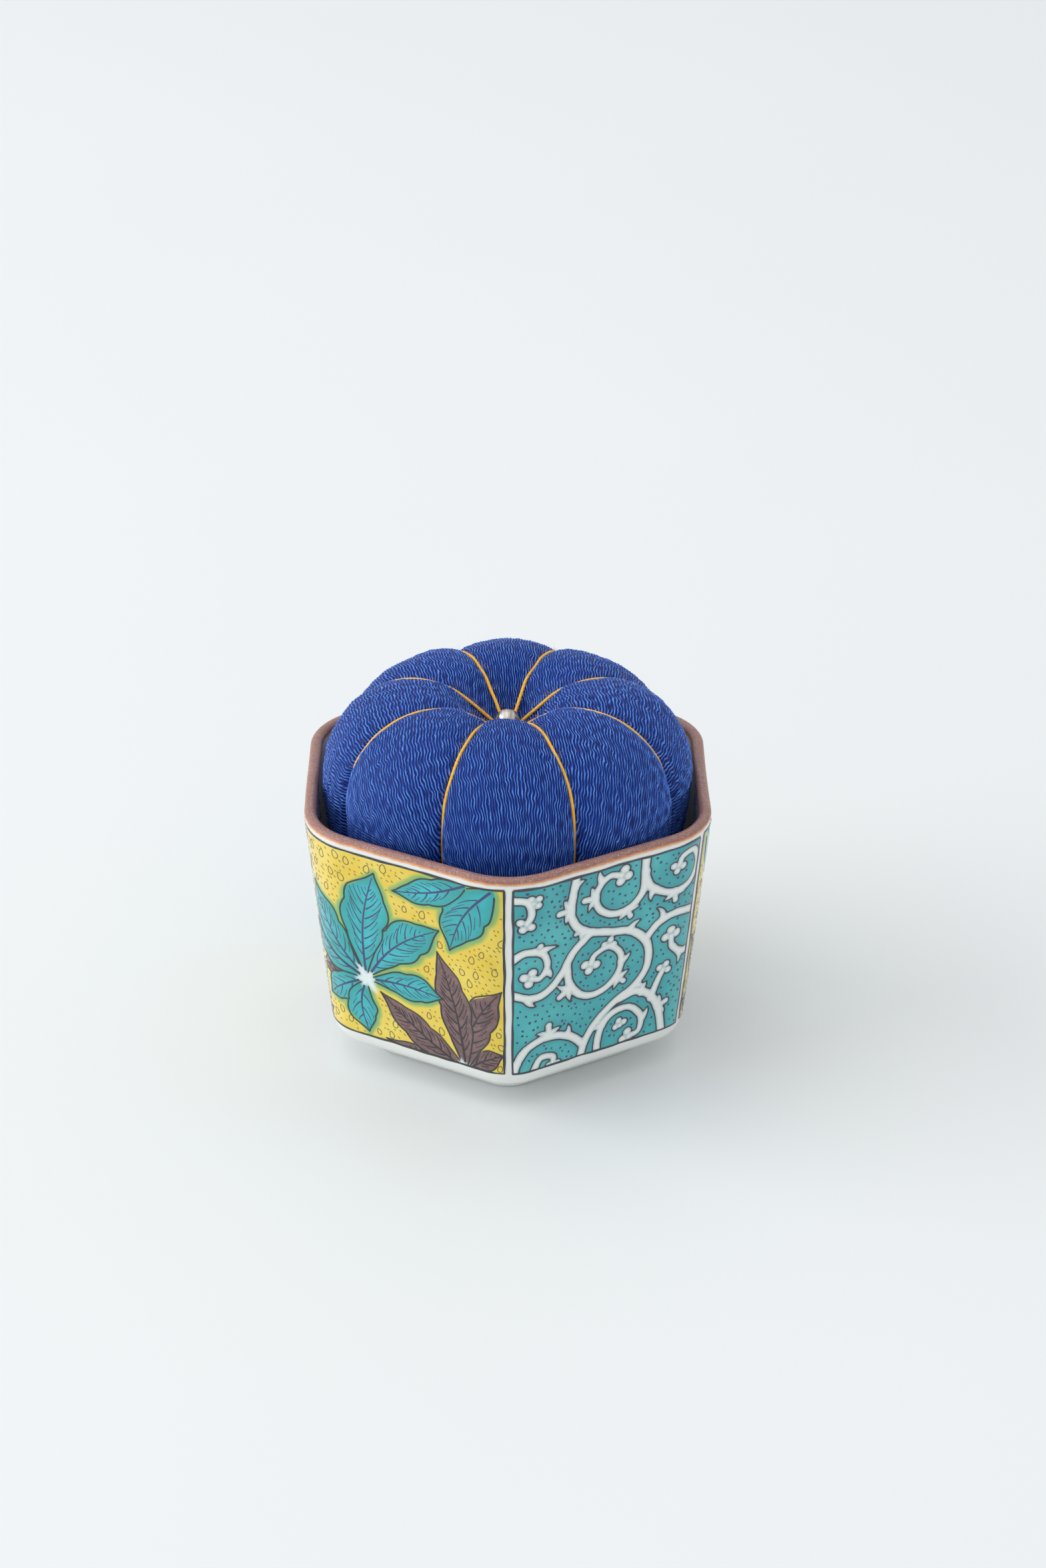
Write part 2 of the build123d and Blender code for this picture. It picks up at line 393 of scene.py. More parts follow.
def cup_body():
    outline = cup_outline()
    length = run_along(outline[:, :2])
    top = outline[:, 1] > CUP_HEIGHT - 1e-3
    lip = length - length[top].mean()
    columns = 6 * FACE_COLUMNS
    x = np.arange(columns) / FACE_COLUMNS
    rows = []
    for a, z, r in outline:
        px, py, nx, ny = on_hexagon(x, a, r)
        bend = wall_bend(x, np.full_like(x, z)) * min(1, a / FOOT_HALF)
        rows.append(np.stack([px + nx * bend, py + ny * bend, np.full_like(px, z)], -1))
    ob = make_mesh("cup_body", np.concatenate(rows), tube_faces(len(rows), columns),
                   porcelain_material(), {"lip": np.repeat(-lip, columns)})
    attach(ob, "cup")
    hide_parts("porcelain_cup")


def porcelain_material():
    """White glaze, with the iron glaze that runs over the lip and its orange edge."""
    n = Nodes("glazed_porcelain")
    lip = n.attribute("lip")
    ragged = n.math("ADD", n.shake(900, 3, 0.35), n.shake(60, 2, 0.35))
    d = n.math("ADD", n.math("ABSOLUTE", n.math("ADD", lip, 0.1)), ragged)
    white = n.mix(n.noise(70, 3), rgb(226, 230, 226), rgb(236, 238, 234))
    halo = n.mix(n.noise(500, 2), rgb(214, 120, 58), rgb(232, 170, 110))
    speckle = n.span(n.noise(4200, 3, 0.7), 0.40, 0.75)
    iron = n.mix(speckle, rgb(142, 100, 92), rgb(196, 160, 150))
    iron = n.mix(n.span(n.noise(220, 3), 0.3, 0.8, 0, 0.7), iron, rgb(146, 102, 92))
    colour = n.mix(n.span(d, 1.28, 1.75), halo, white)
    colour = n.mix(n.span(d, 1.05, 1.3), iron, colour)
    pitted = n.math("MULTIPLY", n.noise(1800, 3), n.span(d, 1.3, 1.1))
    n.set(Base_Color=colour, Roughness=n.span(d, 1.1, 1.4, 0.36, 0.1), Coat_Roughness=0.04,
          Coat_Weight=n.span(d, 1.1, 1.5), Normal=n.bump(pitted, 0.25, 0.0003))
    return n.mat


# ---- Cushion

RIDGE_PITCH = 0.46      # distance between the crepe's ridges
RIDGE_HEIGHT = 0.16
BEAD_PITCH = 0.17       # distance between the small beads of cloth along a ridge
LUMPS = 0.06            # height of the cloth's broad unevenness
CLEARANCE = 0.03        # between a thread and what it touches
SPINE = 0.9             # distance of each lobe's hidden inner edge from the axis
WOOL_INSET = 0.9        # the wool lies this far under the cloth's surface
STITCH_HOLE = 0.95      # radius of the hole in the wool that the stitches pass through
COLUMNS = 192           # points across each lobe
FURROW_DIMPLE = 0.9     # how far the stitches draw the furrows and the lobes down at the bead
CREST_DIMPLE = 2.4
LAST_RUN = 1.3          # level run that ends a line under the cushion
UNDER_TURN = 60         # how far a line turns in under the bead, in degrees


def arc_line(start, heading, steps):
    """Points along runs and tangent arcs in a meridian plane.

    A step is (length or radius, turn in degrees, count of points). A turn of 0 is a run.
    """
    point, heading = np.array(start, float), math.radians(heading)
    rows = [point]
    for size, turn, count in steps:
        if turn == 0:
            for k in range(count):
                point = point + np.array([math.cos(heading), math.sin(heading)]) * size / count
                rows.append(point)
            continue
        side = math.copysign(1, turn)
        centre = point + side * size * np.array([-math.sin(heading), math.cos(heading)])
        for k in range(count):
            heading += math.radians(turn) / count
            point = centre - side * size * np.array([-math.sin(heading), math.cos(heading)])
            rows.append(point)
    return np.array(rows)


def spoke(index):
    """The direction of a lobe's middle; a half adds up to the furrow after it."""
    return math.radians(-90 + index * 360 / LOBES)


THREAD_SEAT = BEAD / 2 + THREAD / 2 + CLEARANCE


def cushion_line(height, base, outer, seat, crown, side, level, counts):
    """A line in a meridian plane from under the bead, over the crown ring and in under the cushion.

    outer is the radius of the arc outside the ring, crown the radii of the two arcs inside it,
    and side those of the two arcs below outer. The drop beside the bead ends at level, or at once.
    """
    (inner, edge), (lower, heel) = crown, side
    turn = math.asin((height - outer - base - heel) / (lower - heel))
    run = CROWN_RADIUS + outer - lower * (1 - math.cos(turn)) - heel * math.cos(turn) - LAST_RUN
    turn = math.degrees(turn)
    top = (CROWN_RADIUS, height)
    out = arc_line(top, 0, [(outer, -90, counts[0]), (lower, -turn, counts[1]),
                            (heel, turn - 90, counts[2]), (run, 0, counts[3])])
    turn = math.degrees(math.asin((CROWN_RADIUS - edge - seat) / (inner - edge)))
    low = arc_line(top, 180, [(inner, turn, 1), (edge, 90 - turn, 1)])[-1][1]
    back = arc_line(top, 180, [(inner, turn, counts[4]), (edge, 90 - turn, counts[5]),
                               (low - level if level else 0.001, 0, counts[6]),
                               (seat, UNDER_TURN, counts[7])])
    return np.concatenate([back[:0:-1], out])


def thread_line(offset, counts):
    """The line offset outside a thread's middle."""
    return cushion_line(THREAD_TOP + offset, THREAD_BOTTOM - offset,
                        THREAD_REACH - CROWN_RADIUS + offset, THREAD_SEAT - offset,
                        (17.9 + offset, 1.0 + offset), (50 + offset, 7 + offset), None, counts)


def crest_line(counts):
    """The line over the top of a lobe."""
    return cushion_line(CUSHION_TOP, CUSHION_BASE, CUSHION_RADIUS - CROWN_RADIUS,
                        THREAD_SEAT + THREAD / 2 + CLEARANCE, (14.0, 2.4), (52, 8), BEAD_Z, counts)


def sunk(line):
    """The line drawn in over the cushion's lower half, where the lobes close over the threads."""
    low = unit((49 - line[:, 1]) / 7) * unit((line[:, 0] - 6) / 14)
    return np.stack([line[:, 0] - 0.7 * low * low * (3 - 2 * low), line[:, 1]], -1)


def dimpled(line, depth):
    """The line pulled down beside the bead by the stitch that holds it."""
    near = unit((9.5 - line[:, 0]) / 6.5) * (line[:, 1] > 40)
    return np.stack([line[:, 0], line[:, 1] - depth * near * near * (3 - 2 * near)], -1)


def cushion_surface(counts, columns):
    """The lobed surface: rows from the bead out and under, columns across the first lobe."""
    groove = dimpled(sunk(thread_line(-THREAD / 2 - CLEARANCE, counts)), FURROW_DIMPLE)
    crest = dimpled(crest_line(counts), CREST_DIMPLE)
    t = np.linspace(-1, 1, columns + 1)
    part = np.sin(t * 0.95) / math.sin(0.95)
    return groove, crest, part, run_along((groove + crest) / 2)


def lobe_shape(index, groove, crest, part, run):
    """Points of one lobe, with their places on the flat cloth."""
    half = math.pi / LOBES
    phi = (spoke(index) + part * half)[None, :]
    reach = np.maximum(groove[:, :1], 2.0) * half
    inside = unit(np.abs(part)[None, :] / (1 - 0.13 / reach))
    low = unit((run - 22) / 14)[:, None]
    full = (1 - inside ** 2.4) ** (0.5 - 0.16 * low)
    full = full * unit(0.30 + run / 12)[:, None]
    plump = waves(5, 25, 60, 30 + index)(run, np.zeros_like(run))[:, None] * 0.10
    full = full * (1 + plump * (1 - inside))
    line = groove[:, None, :] + (crest - groove)[:, None, :] * full[..., None]
    flat = run * (1 - 0.05 * np.clip(run / 36, 0, 2) ** 2)
    u, v = flat[:, None] * np.cos(phi), flat[:, None] * np.sin(phi)
    points = np.stack([line[..., 0] * np.cos(phi), line[..., 0] * np.sin(phi), line[..., 1]], -1)
    return points, u, v


def grid_normals(points):
    normal = np.cross(np.gradient(points, axis=0), np.gradient(points, axis=1))
    return normal / np.maximum(np.linalg.norm(normal, axis=-1, keepdims=True), 1e-9)


def crepe(u, v):
    """The phase and strength of the crepe's ridges, which run along v, on the flat cloth."""
    sway = waves(30, 1.6, 5.0, 21)((u + 0.25 * v) / 2.6, v)
    wander = waves(24, 1.0, 2.6, 22)(u, v)
    fine = waves(24, 0.5, 1.0, 24)(u, v)
    phase = 2 * math.pi * (u + 0.12 * v) / RIDGE_PITCH + 1.15 * sway + 0.62 * wander + 0.22 * fine
    return phase, np.clip(0.82 + 0.24 * waves(16, 0.9, 3.0, 23)(u, v / 1.6), 0.15, 1.3)


def crepe_lobes():
    groove, crest, part, run = cushion_surface([160, 60, 26, 26, 78, 14, 4, 8], COLUMNS)
    material = crepe_material()
    rows, columns = len(run), len(part)
    for index in range(LOBES):
        points, u, v = lobe_shape(index, groove, crest, part, run)
        phase, strength = crepe(u, v)
        height = strength * (0.5 + 0.5 * np.cos(phase)) ** 1.3
        lumps = waves(14, 6, 18, 11)(u, v) * LUMPS
        rise = (height - 0.5) * RIDGE_HEIGHT * np.clip((run - 1.5) / 3, 0.2, 1)[:, None]
        edge = unit((1 - np.abs(part)) * columns / 10)[None, :]
        points = points + grid_normals(points) * ((lumps + rise) * edge)[..., None]
        turn = spoke(index)
        inner = np.column_stack([np.full(rows, SPINE * math.cos(turn)),
                                 np.full(rows, SPINE * math.sin(turn)),
                                 np.linspace(points[0, 0, 2], points[-1, 0, 2], rows)])
        count = rows * columns
        first = np.arange(rows) * columns
        last = first + columns - 1
        spine = count + np.arange(rows)
        left = np.stack([first[:-1], spine[:-1], spine[1:], first[1:]], -1)
        right = np.stack([last[:-1], last[1:], spine[1:], spine[:-1]], -1)
        start = np.append(np.arange(columns)[::-1], count)[None, :]
        end = np.append(np.arange(columns) + count - columns, count + rows - 1)[None, :]
        faces = [f[:, ::-1] for f in (grid_faces(rows, columns), left, right, start, end)]
        tags = {"phase": phase, "strength": strength, "along": v}
        ob = make_mesh(f"crepe_lobe_{index + 1}", np.concatenate([points.reshape(-1, 3), inner]),
                       faces, material,
                       {key: np.append(value, np.zeros(rows)) for key, value in tags.items()})
        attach(ob, "cushion")
        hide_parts("cushion_cover")


def wool_stuffing():
    """The ball of wool inside the cloth, resting on the card, with the stitches' path left open."""
    groove, crest, part, run = cushion_surface([24, 16, 6, 6, 16, 4, 1, 2], 20)
    lobes = [lobe_shape(index, groove, crest, part, run)[0][:, :-1] for index in range(LOBES)]
    points = np.concatenate(lobes, axis=1)
    inward = side_of((groove + crest) / 2)
    level = np.hypot(points[..., 0], points[..., 1])
    closer = np.maximum(level - WOOL_INSET * inward[:, :1], 1.0)
    points[..., :2] *= (closer / level)[..., None]
    points[..., 2] = np.maximum(points[..., 2] - WOOL_INSET * inward[:, 1:], CARD_TOP)
    rows, columns = points.shape[:2]
    start = points[0]
    inner = STITCH_HOLE * start[:, :2] / np.hypot(start[:, 0], start[:, 1])[:, None]
    top = np.column_stack([inner, start[:, 2]])
    bottom = np.column_stack([inner, np.full(columns, CARD_TOP)])
    rings = np.concatenate([top[None], points, bottom[None], top[None]])
    faces = grid_faces(rows + 2, columns, wrap=True)
    first = np.arange(columns)
    last = (rows + 1) * columns + first
    close = np.stack([last, np.roll(last, -1), np.roll(first, -1), first], -1)
    wool = plain_thing("white_wool", rgb(214, 206, 188), rgb(236, 230, 216), 700, 0.95)
    ob = make_mesh("wool_stuffing", rings[:-1].reshape(-1, 3),
                   [np.concatenate([faces, close])[:, ::-1]], wool)
    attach(ob, "cushion")
    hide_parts("wool_filling")


def crepe_material():
    """Blue crepe, coloured from the ridges' height: painted shade in the valleys, and painted
    highlights on the crests and on the small beads along them.
    """
    n = Nodes("blue_crepe")
    wave = n.math("COSINE", n.math("ADD", n.attribute("phase"), n.shake(2600, 2, 0.95)))
    ridge = n.math("POWER", n.math("MULTIPLY_ADD", wave, 0.5, 0.5), 1.35)
    ridge = n.math("MULTIPLY", ridge, n.attribute("strength"))
    bead = n.math("SINE", n.math("MULTIPLY_ADD", n.attribute("along"), 2 * math.pi / BEAD_PITCH,
                                 n.math("MULTIPLY", n.attribute("phase"), 0.5)))
    bead_relief_and_glint = n.math("MULTIPLY_ADD", bead, 0.5, 0.5)
    lit = n.math("MULTIPLY", ridge, n.math("MULTIPLY_ADD", bead_relief_and_glint, 0.45, 0.7))
    # Painted shade and highlight: dark blue in the valleys, light blue on the crests and on the
    # beads along them.
    low = n.mix(n.span(lit, 0.02, 0.45), rgb(6, 24, 84), rgb(30, 80, 182))
    colour = n.mix(n.span(lit, 0.4, 1.0), low, rgb(108, 160, 250))
    colour = n.mix(n.span(n.noise(140, 2), 0.3, 0.8, 0, 0.25), colour, rgb(24, 62, 156))
    height = n.math("ADD", ridge, n.math("MULTIPLY", n.math("MULTIPLY", bead_relief_and_glint, ridge), 0.25))
    n.set(Base_Color=colour, Roughness=0.5, Specular_IOR_Level=0.22, Sheen_Weight=0.1,
          Sheen_Roughness=0.4, Sheen_Tint=rgb(130, 170, 245), Normal=n.bump(height, 0.8, 0.00016))
    return n.mat


# ---- Threads and bead

PLY, APART = 0.20, 0.055        # a ply's radius and its distance from the thread's middle
TWIST_PITCH = 2.4
THREAD_STEP = 0.12
HAIRS = 620
HAIR_POINTS, HAIR_SIDES = 5, 3


def thread_mesh(index, line, material):
    """A thread of three twisted plies along a line in one furrow."""
    run = run_along(line)
    places = np.arange(0, run[-1], THREAD_STEP)
    r, z = (np.interp(places, run, line[:, k]) for k in (0, 1))
    wobble = waves(6, 4, 14, 40 + index)(places, np.zeros_like(places)) * 0.07
    nr, nz = side_of(np.stack([r, z], -1)).T
    around = 18
    theta = ring_angles(around)
    twist = places * 2 * math.pi / TWIST_PITCH
    best = np.zeros((len(places), around))
    for k in range(3):
        a = theta[None, :] - twist[:, None] - k * 2 * math.pi / 3
        inside = PLY ** 2 - (APART * np.sin(a)) ** 2
        surface = APART * np.cos(a) + np.sqrt(np.maximum(inside, 0))
        best = np.maximum(best, np.where((inside > 0) & (np.cos(a) > -0.2), surface, 0.05))
    across = best * np.cos(theta) + wobble[:, None] * unit((places - 4) / 4)[:, None]
    out = best * np.sin(theta)
    rr, zz = r[:, None] + nr[:, None] * out, z[:, None] + nz[:, None] * out
    turn = spoke(index + 0.5)
    points = np.stack([rr * math.cos(turn) - across * math.sin(turn),
                       rr * math.sin(turn) + across * math.cos(turn), zz], -1)
    faces = [f[:, ::-1] for f in tube_faces(len(places), around)]
    ob = make_mesh(f"thread_{index + 1}", points.reshape(-1, 3), faces, material,
                   {"depth": best / (PLY + APART)})
    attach(ob, "cushion")
    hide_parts(f"dividing_thread_{index + 1}")


def thread_material():
    n = Nodes("golden_thread")
    depth = n.attribute("depth")
    # Painted shade: the orange is darker where the plies dip into the creases between them, and
    # lightest on their crowns.
    colour = n.mix(n.span(depth, 0.80, 0.98), rgb(232, 148, 26), rgb(255, 190, 50))
    colour = n.mix(n.span(n.noise(5000, 2), 0.35, 0.8, 0, 0.5), colour, rgb(255, 206, 92))
    n.set(Base_Color=colour, Roughness=0.5, Sheen_Weight=0.35, Sheen_Roughness=0.35,
          Sheen_Tint=rgb(255, 225, 160), Normal=n.bump(n.noise(9000, 2), 0.3, 0.00003))
    return n.mat


def thread_fuzz(line, material):
    """Fine hairs that stand out of the threads and out of the cloth beside them."""
    rng = np.random.default_rng(77)
    run = run_along(line)
    points, faces = [], []
    for k in range(HAIRS):
        at = 3.2 + 27 * rng.random() ** 1.3
        (r, ahead_r), (z, ahead_z) = (np.interp((at, at + 0.1), run, line[:, i]) for i in (0, 1))
        slope = math.atan2(ahead_z - z, ahead_r - r)
        turn = spoke(rng.integers(LOBES) + 0.5)
        outward = np.array([-math.sin(slope) * math.cos(turn), -math.sin(slope) * math.sin(turn),
                            math.cos(slope)])
        across = np.array([-math.sin(turn), math.cos(turn), 0])
        along = np.cross(across, outward)
        place = np.array([r * math.cos(turn), r * math.sin(turn), z])
        place = place + across * rng.normal(0, 0.12) + outward * 0.15
        lean = rng.uniform(-1, 1)
        heading = rng.uniform(0.1, 0.9) * outward + lean * across + rng.uniform(-0.8, 0.8) * along
        heading /= np.linalg.norm(heading)
        bend = rng.normal(0, 0.35, 3) - 0.12 * outward
        length, size = rng.uniform(0.5, 1.7), rng.uniform(0.009, 0.016)
        side = np.cross(heading, rng.normal(0, 1, 3))
        side /= np.linalg.norm(side)
        other = np.cross(heading, side)
        for step in range(HAIR_POINTS):
            middle = place + heading * length * step / 4 + bend * (step / 4) ** 2 * length * 0.5
            for theta in ring_angles(HAIR_SIDES):
                around = math.cos(theta) * side + math.sin(theta) * other
                points.append(middle + size * (1 - 0.18 * step) * around)
        faces.append(grid_faces(HAIR_POINTS, HAIR_SIDES, HAIR_POINTS * HAIR_SIDES * k, wrap=True))
    ob = make_mesh("thread_fuzz", np.array(points), [np.concatenate(faces)], material)
    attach(ob, "cushion")


def crown_bead():
    """The bead, turned about its level hole, with the hole's edges rounded."""
    radius, hole = BEAD / 2, 0.45
    edge = math.degrees(math.asin(hole / radius))
    arc = np.radians(np.linspace(edge + 3, 180 - edge - 3, 61))
    outline = [(radius * math.cos(a), radius * math.sin(a)) for a in arc]
    half = radius * math.cos(math.radians(edge)) - 0.02
    lip = [(half - 0.02, hole + 0.03), (half - 0.08, hole)]
    outline = lip[::-1] + outline + [(-x, y) for x, y in lip]
    around = 96
    points = np.array([[(x, y * math.cos(t), BEAD_Z + y * math.sin(t)) for t in ring_angles(around)]
                       for x, y in outline])
    k = np.arange(around)
    ahead = (k + 1) % around
    last = (len(outline) - 1) * around
    faces = [grid_faces(len(outline), around, wrap=True),
             np.stack([last + k, last + ahead, ahead, k], -1)]
    ob = make_mesh("silver_bead", points.reshape(-1, 3), faces, bead_material())
    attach(ob, "cushion")
    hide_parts("crown_bead")


def bead_material():
    n = Nodes("polished_silver")
    brushed = n.noise(90, 3, 0.6, (70, 1, 1))
    tone = n.mix(n.span(brushed, 0.35, 0.7), rgb(176, 166, 152), rgb(240, 237, 230))
    n.set(Base_Color=tone, Metallic=0.8, Roughness=n.span(brushed, 0.3, 0.8, 0.2, 0.38),
          Normal=n.bump(brushed, 0.3, 0.00003))
    return n.mat


# ---- Painted panels

FACE = 31.6             # width of a face at half height, corner to corner
PANEL_LOW, PANEL_HIGH = 7.0, 39.9
PANEL_MARGIN = 0.62     # half of the white strip between two panels
PANEL_STEP = 0.24
ENAMEL = 0.05           # thickness of the enamel
PATH_STEP = 0.2         # between the points of a painted line
TALL = PANEL_HIGH - PANEL_LOW


class Panel:
    """Part of the outer wall as flat coordinates, x to the right and y up from its low corner."""

    def __init__(self, corner, faces, mirrored=False):
        self.corner, self.faces, self.mirrored = corner, faces, mirrored
        self.width = faces * FACE - 2 * PANEL_MARGIN

    def at(self, x, y, lift):
        if self.mirrored:
            x = self.width - x
        return on_wall(self.corner + (PANEL_MARGIN + x) / FACE, PANEL_LOW + y, lift)


class Strokes:
    """Brush strokes on a panel in one mesh, each a strip a little higher along its middle."""

    def __init__(self, panel, seed):
        self.panel = panel
        self.points, self.faces, self.count = [], [], 0
        self.rng = np.random.default_rng(seed)

    def add(self, points, faces):
        """Keep a stroke's points, and its faces turned outward."""
        self.points.append(points)
        self.faces.append(faces[:, ::-1 if self.panel.mirrored else 1] + self.count)
        self.count += len(points)

    def line(self, path, widths, lift=0.08, keep=None):
        """One stroke, or the parts of it where keep says so."""
        path = np.asarray(path, float)
        widths = np.broadcast_to(np.asarray(widths, float), len(path))
        if keep:
            inside = (path > 0.1).all(1) & (path < (self.panel.width - 0.1, TALL - 0.1)).all(1)
            cuts = np.flatnonzero(np.diff(np.concatenate([[0], inside & keep(path), [0]])))
            for a, b in zip(cuts[::2], cuts[1::2]):
                if b - a > 2:
                    self.line(path[a:b], widths[a:b], lift)
            return
        side = side_of(path) * widths[:, None] / 2
        columns = [path - side, path, path + side]
        lifts = (lift - 0.01, lift + 0.015, lift - 0.01)
        rows = [self.panel.at(*c.T, h) for c, h in zip(columns, lifts)]
        self.add(np.stack(rows, 1).reshape(-1, 3), grid_faces(len(path), 3)[:, ::-1])

    def dot(self, x, y, size, lift):
        """A small uneven dab of paint."""
        k = np.arange(6)
        angle = k * math.pi / 3 + self.rng.uniform(0, 1)
        reach = size / 2 * self.rng.uniform(0.7, 1.25, 6)
        points = self.panel.at(x + np.append(reach * np.cos(angle), 0),
                               y + np.append(reach * np.sin(angle), 0),
                               np.append(np.full(6, lift - 0.01), lift + 0.02))
        self.add(points, np.stack([k, (k + 1) % 6, np.full(6, 6)], -1))

    def finish(self, name, material):
        ob = make_mesh(name, np.concatenate(self.points), [np.concatenate(self.faces)], material)
        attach(ob, "cup")


def smooth_line(knots):
    """A smooth line through a few points."""
    p = np.array(knots, float)
    p = np.concatenate([[2 * p[0] - p[1]], p, [2 * p[-1] - p[-2]]])
    out = []
    for a, b, c, d in zip(p, p[1:], p[2:], p[3:]):
        n = max(2, int(np.linalg.norm(c - b) / PATH_STEP))
        t = np.linspace(0, 1, n, endpoint=False)[:, None]
        out.append(0.5 * (2 * b + (c - a) * t + (2 * a - 5 * b + 4 * c - d) * t ** 2
                          + (3 * b - a - 3 * c + d) * t ** 3))
    return np.concatenate(out + [p[-2:-1]])


def discs(path, radii):
    path = np.asarray(path, float)
    return np.column_stack([path, np.broadcast_to(radii, len(path))])


def reach_of(shapes, x, y):
    """Distance from each point to the nearest disc of the shapes: below 0 inside."""
    best = np.full(x.shape, FAR)
    for cx, cy, r in shapes:
        np.minimum(best, np.hypot(x - cx, y - cy) - r, out=best)
    return best


VINE = 0.77             # half the width of a vine, outline included
FILLET = 0.09           # how softly painted shapes melt together
FAR = 50.0              # a distance past every painted shape


def vine(knots):
    return discs(smooth_line(knots), VINE)


def away(place, heading, distance):
    """The point at a distance from a place, in a direction in degrees."""
    angle = math.radians(heading)
    return place[0] + distance * math.cos(angle), place[1] + distance * math.sin(angle)


def bud(place, heading, size=0.74):
    """A three-lobed bud that ends a vine."""
    size = size * 1.12
    lobes = [(*away(place, heading + turn, d * size), size)
             for turn, d in ((0, 1.45), (78, 1.25), (-78, 1.25))]
    return np.array(lobes + [(place[0], place[1], size * 0.85)])


def curl(knots, size=0.74):
    """A vine that curls in and ends in a bud."""
    path = smooth_line(knots)
    ahead = path[-1] - path[-4]
    heading = math.degrees(math.atan2(ahead[1], ahead[0]))
    stem = discs(path, np.linspace(VINE, VINE * 0.78, len(path)))
    return np.concatenate([stem, bud(path[-1], heading, size)])


def bent(angle, length):
    """A path of equal steps in the directions of angle, from the end of its first step on."""
    steps = np.stack([np.cos(angle), np.sin(angle)], -1) * length / len(angle)
    return np.cumsum(steps, 0)


def hook(x, y, heading, length, bend):
    """A pointed leaflet that leaves a vine and bends over."""
    t = np.linspace(0, 1, 14)
    angle = np.radians(heading + bend * t)
    return discs(np.array([x, y]) + bent(angle, length), 0.70 * (1 - t) ** 0.75 + 0.06)


def claw(x, y, heading, size=1.0):
    """Three leaflets that leave a vine at one place, as a crow's foot does."""
    middle = [(*away((x, y), heading, d), 0.66 * size) for d in (0.4, 0.9, 1.4, 1.9 * size)]
    sides = [hook(x, y, heading + 48 * k, 2.5 * size, 35 * k) for k in (1, -1)]
    return np.concatenate(sides + [np.array(middle)])


def scroll_design():
    """One scroll panel's vines, curls, buds and leaflets: groups of discs that melt together."""
    return [
        vine([(9.6, 33.8), (9, 29.6), (9, 26), (11, 23.1), (15.4, 21.5), (19.6, 20.3), (22.4, 17.2),
              (22.8, 13.2), (21, 10.2), (17.6, 8.2), (14.6, 5.6), (12.6, 2.4), (11.9, -0.8)]),
        vine([(-1, 14.7), (2.8, 13.4), (5.6, 14), (8, 16.6), (9.6, 19.6), (12.4, 22.3)]),
        curl([(8.6, 17.6), (9.4, 13.8), (11.8, 11.2), (15, 11), (17.6, 13.2), (17.9, 16.6),
              (15.8, 18.8), (13.4, 18), (12.8, 16.6)]),
        claw(9.2, 13.2, 215), claw(17.6, 12.6, -40, 0.85), bud((15.6, 19), 75, 0.6),
        hook(17.9, 15.4, 10, 2.2, 60),
        curl([(-1, 19.8), (1.6, 21.7), (4.4, 21), (5.3, 18.6), (4.2, 16.8), (2.8, 17)]),
        hook(4, 21.4, 20, 3.0, -30), bud((3.9, 21.6), 80, 0.55), hook(5.2, 17.6, -30, 1.8, -70),
        vine([(20.7, 34), (20.7, 30.8), (21, 28.4)]),
        curl([(20.9, 30.4), (20.6, 27), (18.6, 24.8), (15.6, 24.6), (13.2, 26.6), (13, 29.4),
              (14.8, 31.4), (16.8, 31)]),
        claw(12.9, 28.2, 175), claw(18.2, 24.7, -65, 0.85), hook(13.8, 30.8, 130, 2.2, -50),
        curl([(20.9, 29.2), (22.2, 27.2), (25.4, 25.4), (28.8, 25.9), (30.2, 28.6), (29.2, 31.4),
              (27, 31.2), (26.4, 29.8)], 0.62),
        claw(26.2, 25.4, -80, 0.9), hook(22.6, 26.8, 230, 2.2, 60),
        vine([(22.2, 18.4), (24, 20.4), (27, 21.3), (31.6, 20.4)]), hook(24.6, 20.8, 80, 3.0, 75),
        curl([(31.6, 13.6), (29, 13.7), (27, 15.4), (26.6, 17.2)]), hook(28.4, 14, -60, 2.6, -60),
        vine([(18.4, 8.4), (21.4, 8.9), (24, 7.4), (26, 4), (27.2, -0.8)]),
        curl([(24.2, 6.8), (25, 9.4), (25.9, 11.4)], 0.62), claw(25.6, 4.8, 20, 0.9),
        hook(22.4, 8.2, 95, 2.2, -50),
        curl([(14.9, -0.8), (15.2, 3.2), (17, 6), (20.2, 6.4), (22.7, 4), (22.6, 1.4),
              (20.9, 0.8)]),
        claw(15.6, 4.4, 130, 0.8), hook(22.9, 3.4, 40, 2.2, 50), bud((19, 3.4), 110, 0.6),
        vine([(12.4, 2), (9.7, 4.4), (6, 5.4), (2.4, 4.4), (0.5, 1.4), (0.1, -0.8)]),
        claw(6, 5.6, 92), curl([(3.2, -0.8), (4.6, 1.8), (6.8, 1.6), (7, 0.2)], 0.6),
        hook(9.2, 4.6, 60, 2.2, 50),
        curl([(-0.2, 31.2), (2, 30.6), (2.6, 28.4), (1.9, 26.9)], 0.66), bud((2.9, 30.4), 40, 0.6),
        claw(8.9, 27.4, 185), hook(9.2, 31, 60, 2.2, -60), hook(2.2, 13.4, -80, 2.2, 60),
        claw(11.2, 23, 190, 0.7), hook(19, 20.6, 70, 2.4, -60), hook(21.2, 10.4, -50, 2.2, 60)]


def melt(groups, x, y):
    """Distance to several groups of discs, with a small fillet wherever two of them meet."""
    total = np.zeros(x.shape)
    for shapes in groups:
        total += np.exp(-np.clip(reach_of(shapes, x, y), -4, 6) / FILLET)
    return -FILLET * np.log(np.maximum(total, 1e-16))


